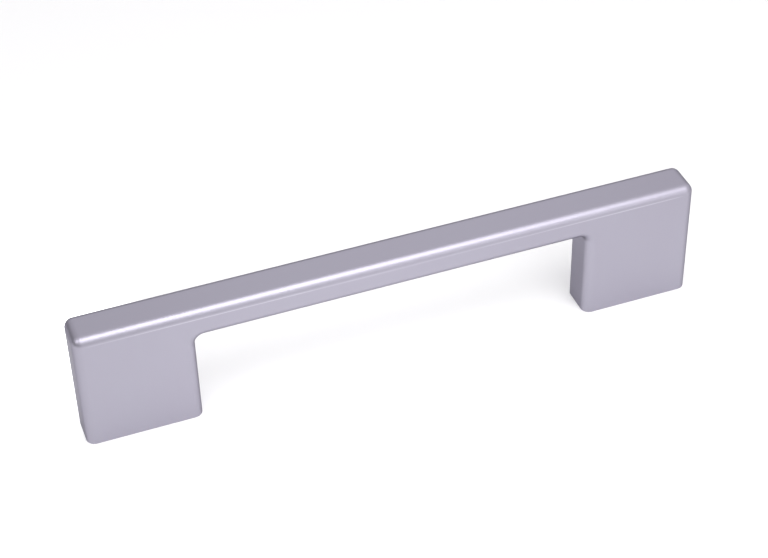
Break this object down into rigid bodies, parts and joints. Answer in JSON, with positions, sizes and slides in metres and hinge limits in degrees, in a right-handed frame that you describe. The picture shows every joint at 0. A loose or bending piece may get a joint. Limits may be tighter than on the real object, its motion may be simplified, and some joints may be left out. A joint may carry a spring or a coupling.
{
  "type": "furniture handle",
  "caption": "Straight bar handle for a drawer or cabinet front, with two wide flat feet, rounded edges and a threaded screw hole in each foot.",
  "frame": {"origin": "midway between the two fixing holes, in the plane of the feet's mounting faces", "axes": "+X along the bar, +Y across the bar, +Z away from the furniture front"},
  "size_m": [0.1564, 0.0104, 0.0323],
  "materials": {
    "satin_metal": "satin plated zinc, smooth and matt, light grey"
  },
  "bodies": {
    "root": {"handle": "satin_metal"}
  },
  "joints": []
}
